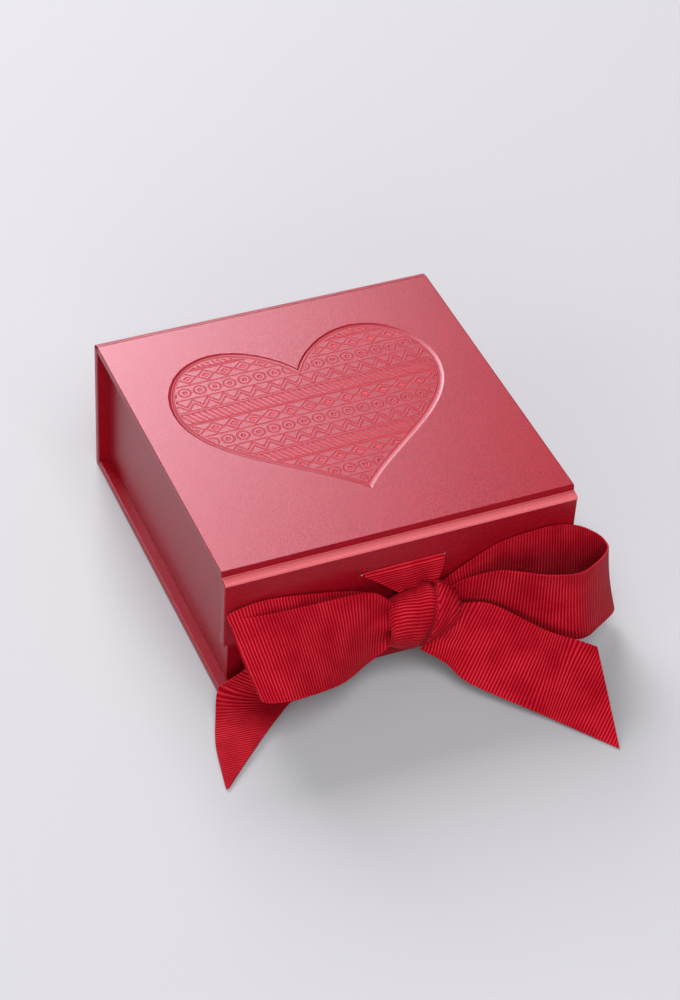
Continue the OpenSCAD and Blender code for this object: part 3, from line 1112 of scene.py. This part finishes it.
@dataclass
class Bow:
    """The tied ribbon: slit band, two loops, two tails and the knot."""

    runs: list[RibbonRun] = field(default_factory=list)
    knot: Knot = field(default_factory=Knot)

    def lay_out(self) -> None:
        """Fills in the runs with their stations."""
        band = [(-58.47, 16.5, 0.42, 1.0), (-57.25, 21.1, 0.62, 0.7), (-55.25, 21.425, 0.8, 0.4),
                (-53.25, 21.75, 0.96, 0.15), (-53.25, 29.48, 1.0, 0.0), (-53.25, 36.55, 1.0, 0.0),
                (-53.9, 37.2, 1.0, 0.0), (-56.6, 37.2, 1.0, 0.0), (-57.25, 36.55, 0.98, 0.05),
                (-57.9, 33.85, 0.8, 0.5), (-58.8, 28.5, 0.45, 1.0)]
        knot_share = KNOT_X_MM/RIBBON_MM
        slit = [((side*KNOT_X_MM/RIBBON_MM - knot_share - share/2, -(y - FLAP_FRONT_MM)/RIBBON_MM,
                  z/KNOT_Z_MM), (1.0, 0.0, 0.0), share) for y, z, share, side in band]
        self.runs = [
            RibbonRun("ribbon_slit_band", "folded", slit, 2.0, 0.5, 0.0, 6, 24, False),
            RibbonRun("ribbon_left_loop", "gathered", [
                ((-0.35, 0.29, 1.39), (0.08, -0.08, -0.99), 0.51),
                ((-0.63, 0.23, 1.67), (-0.02, -0.14, -0.99), 0.97),
                ((-1.22, 0.21, 1.70), (0.08, -0.46, -0.89), 1.00),
                ((-1.87, 0.19, 1.71), (0.08, -0.75, -0.66), 1.00),
                ((-2.22, 0.14, 1.71), (0.13, -0.74, -0.66), 1.00),
                ((-2.31, 0.10, 1.74), (0.15, -0.72, -0.67), 1.00),
                ((-2.24, 0.08, 1.79), (0.13, -0.66, -0.74), 1.00),
                ((-1.85, 0.07, 1.84), (0.08, -0.52, -0.85), 1.00),
                ((-1.18, 0.07, 1.71), (0.04, -0.32, -0.95), 1.00),
                ((-0.63, 0.09, 1.52), (0.02, -0.15, -0.99), 0.82),
                ((-0.35, 0.17, 1.37), (0.08, -0.04, -1.00), 0.51)]),
            RibbonRun("ribbon_right_loop", "gathered", [
                ((0.31, 0.29, 1.37), (0.04, 0.00, -1.00), 0.51),
                ((0.53, 0.26, 1.46), (0.02, 0.05, -1.00), 0.87),
                ((0.86, 0.37, 1.64), (0.02, 0.10, -0.99), 1.00),
                ((1.09, 0.50, 1.68), (0.04, 0.08, -1.00), 1.00),
                ((1.39, 0.66, 1.66), (0.06, 0.04, -1.00), 1.00),
                ((1.74, 0.72, 1.63), (0.09, -0.08, -0.99), 1.00),
                ((2.06, 0.58, 1.60), (0.11, -0.08, -0.99), 1.00),
                ((2.30, 0.37, 1.51), (0.15, -0.08, -0.99), 1.00),
                ((2.35, 0.21, 1.48), (0.15, -0.06, -0.99), 1.00),
                ((2.26, 0.10, 1.56), (0.13, -0.02, -0.99), 1.00),
                ((2.01, 0.07, 1.75), (0.09, -0.01, -1.00), 1.00),
                ((1.65, 0.07, 1.87), (0.06, -0.01, -1.00), 1.00),
                ((1.13, 0.07, 1.82), (0.03, -0.01, -1.00), 1.00),
                ((0.71, 0.09, 1.62), (0.01, -0.02, -1.00), 0.89),
                ((0.31, 0.15, 1.37), (0.04, -0.02, -1.00), 0.51)]),
            RibbonRun("ribbon_right_tail", "laid", [
                ((-0.02, 0.36, 0.49), (0.45, 0.04, 0.89), 0.62),
                ((0.22, 0.57, 0.32), (0.49, 0.35, 0.80), 0.76),
                ((0.38, 0.87, 0.20), (0.52, 0.50, 0.69), 0.94),
                ((0.84, 1.39, 0.13), (0.57, 0.67, 0.48), 0.95),
                ((1.12, 1.67, 0.07), (0.59, 0.69, 0.43), 1.01),
                ((1.63, 2.28, 0.02), (0.19, 0.91, 0.36), 1.26)], squareness=1.0),
            RibbonRun("ribbon_left_tail", "laid", [
                ((-0.31, 0.10, 0.93), (0.04, -0.05, -0.99), 0.44),
                ((-1.10, 0.07, 0.98), (0.54, -0.10, -0.83), 0.80),
                ((-1.77, 0.04, 0.76), (0.75, -0.25, -0.61), 0.89),
                ((-2.19, 0.01, 0.39), (0.91, -0.30, -0.28), 0.97),
                ((-2.35, -0.03, 0.19), (0.92, -0.36, -0.12), 0.99),
                ((-2.50, 0.29, 0.07), (1.00, -0.05, -0.03), 0.91),
                ((-2.64, 0.67, 0.03), (1.00, 0.05, 0.00), 0.67),
                ((-2.72, 1.07, 0.03), (1.00, 0.07, 0.00), 0.28),
                ((-2.76, 1.31, 0.03), (1.00, 0.10, 0.00), 0.04)], cut_from=4, squareness=0.3)]

    def build(self, material: bpy.types.Material) -> list[bpy.types.Object]:
        """Builds every stretch and the knot.

        Args:
            material: the ribbon's finish.

        Returns:
            The new pieces.
        """
        self.lay_out()
        return [run.build(material) for run in self.runs] + [self.knot.build(material)]


@dataclass(frozen=True)
class Lamp:
    """A soft rectangular lamp that faces the box."""

    name: str
    place: Point
    size: tuple[float, float]
    power: float
    colour: Colour = (1.0, 1.0, 1.0)
    aim: Point = (0.0, 0.0, 0.03)

    def build(self) -> bpy.types.Object:
        """Adds the lamp."""
        light = bpy.data.lights.new(self.name, "AREA")
        light.shape = "RECTANGLE"
        light.size, light.size_y = self.size
        light.energy = self.power
        light.color = self.colour
        lamp = bpy.data.objects.new(self.name, light)
        bpy.context.scene.collection.objects.link(lamp)
        way = Vector(self.aim) - Vector(self.place)
        lamp.matrix_world = Matrix.Translation(self.place) @ way.to_track_quat("-Z", "Y").to_matrix().to_4x4()
        return lamp


@dataclass
class Studio:
    """Pale table, soft lamps and the camera."""

    lamps: tuple[Lamp, ...] = (
        Lamp("back_softbox", (0.0, 2.49, 1.77), (1.86, 1.63), 200.0, (1.0, 0.97, 1.0)),
        Lamp("top_softbox", (-0.2, -1.3, 2.2), (2.0, 2.0), 76.0),
        Lamp("front_softbox", (-1.2, -2.25, 0.75), (1.8, 1.2), 44.0),
        Lamp("left_softbox", (-2.2, -0.5, 1.0), (1.4, 1.4), 20.0))
    sky: Colour = (0.96, 0.96, 1.0)
    sky_power: float = 0.22
    table_m: float = 8.0
    lens: float = 98.27
    frame_shift: float = -0.001
    eye_mm: Point = (-260.155, -567.108, 572.119)
    right: Point = (0.92161486, -0.38532041, 0.04641373)
    down: Point = (-0.22531629, -0.62858037, -0.74439189)
    ahead: Point = (0.31600414, 0.67558486, -0.66612798)

    def build(self) -> None:
        """Sets up the table, the light and the camera."""
        deselect()
        bpy.ops.mesh.primitive_grid_add(x_subdivisions=2, y_subdivisions=2, size=self.table_m,
                                        location=(0, 0, 0))
        table = bpy.context.object
        table.name = "table"
        dress(table, TableTop().make())
        for lamp in self.lamps:
            lamp.build()
        world = bpy.data.worlds.new("studio")
        world.use_nodes = True
        shade = world.node_tree.nodes["Background"]
        shade.inputs["Color"].default_value = (*self.sky, 1.0)
        shade.inputs["Strength"].default_value = self.sky_power
        bpy.context.scene.world = world
        bpy.context.scene.view_settings.view_transform = "Standard"
        camera = bpy.data.cameras.new("photo_view")
        camera.sensor_width = 36
        camera.lens = self.lens
        camera.shift_y = self.frame_shift
        eye = bpy.data.objects.new("photo_view", camera)
        bpy.context.scene.collection.objects.link(eye)
        axes = Matrix((self.right, tuple(-part for part in self.down), tuple(-part for part in self.ahead)))
        eye.matrix_world = Matrix.Translation(Vector(self.eye_mm)*MM) @ axes.transposed().to_4x4()
        bpy.context.scene.camera = eye


def main() -> None:
    """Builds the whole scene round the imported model."""
    logging.basicConfig(level=logging.INFO, format="%(message)s")
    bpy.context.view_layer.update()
    pearl = PearlPaper().make()
    board = PlainPaper("greyboard", (0.36, 0.34, 0.31), (0.55, 0.53, 0.49), 0.9, 2.5, 0.05, 0.85).make()
    lining = PlainPaper("lining_paper", (0.30, 0.012, 0.030), (0.40, 0.020, 0.042), 0.5, 1.0, 0.02,
                        0.7).make()
    tape = PlainPaper("kraft_tape", (0.42, 0.28, 0.15), (0.60, 0.43, 0.25), 0.7, 4.0, 0.03, 0.75).make()
    steel = PlatedSteel().make()
    Studio().build()
    LOG.info("case: %d new pieces", len(Case().build(pearl, board, lining)))
    LOG.info("tray: %d new pieces", len(Tray().build(pearl, board, lining, tape, steel)))
    LOG.info("heart: %s", PressedHeart().build().name)
    LOG.info("bow: %d new pieces", len(Bow().build(Grosgrain().make())))


if __name__ == "__main__":
    main()
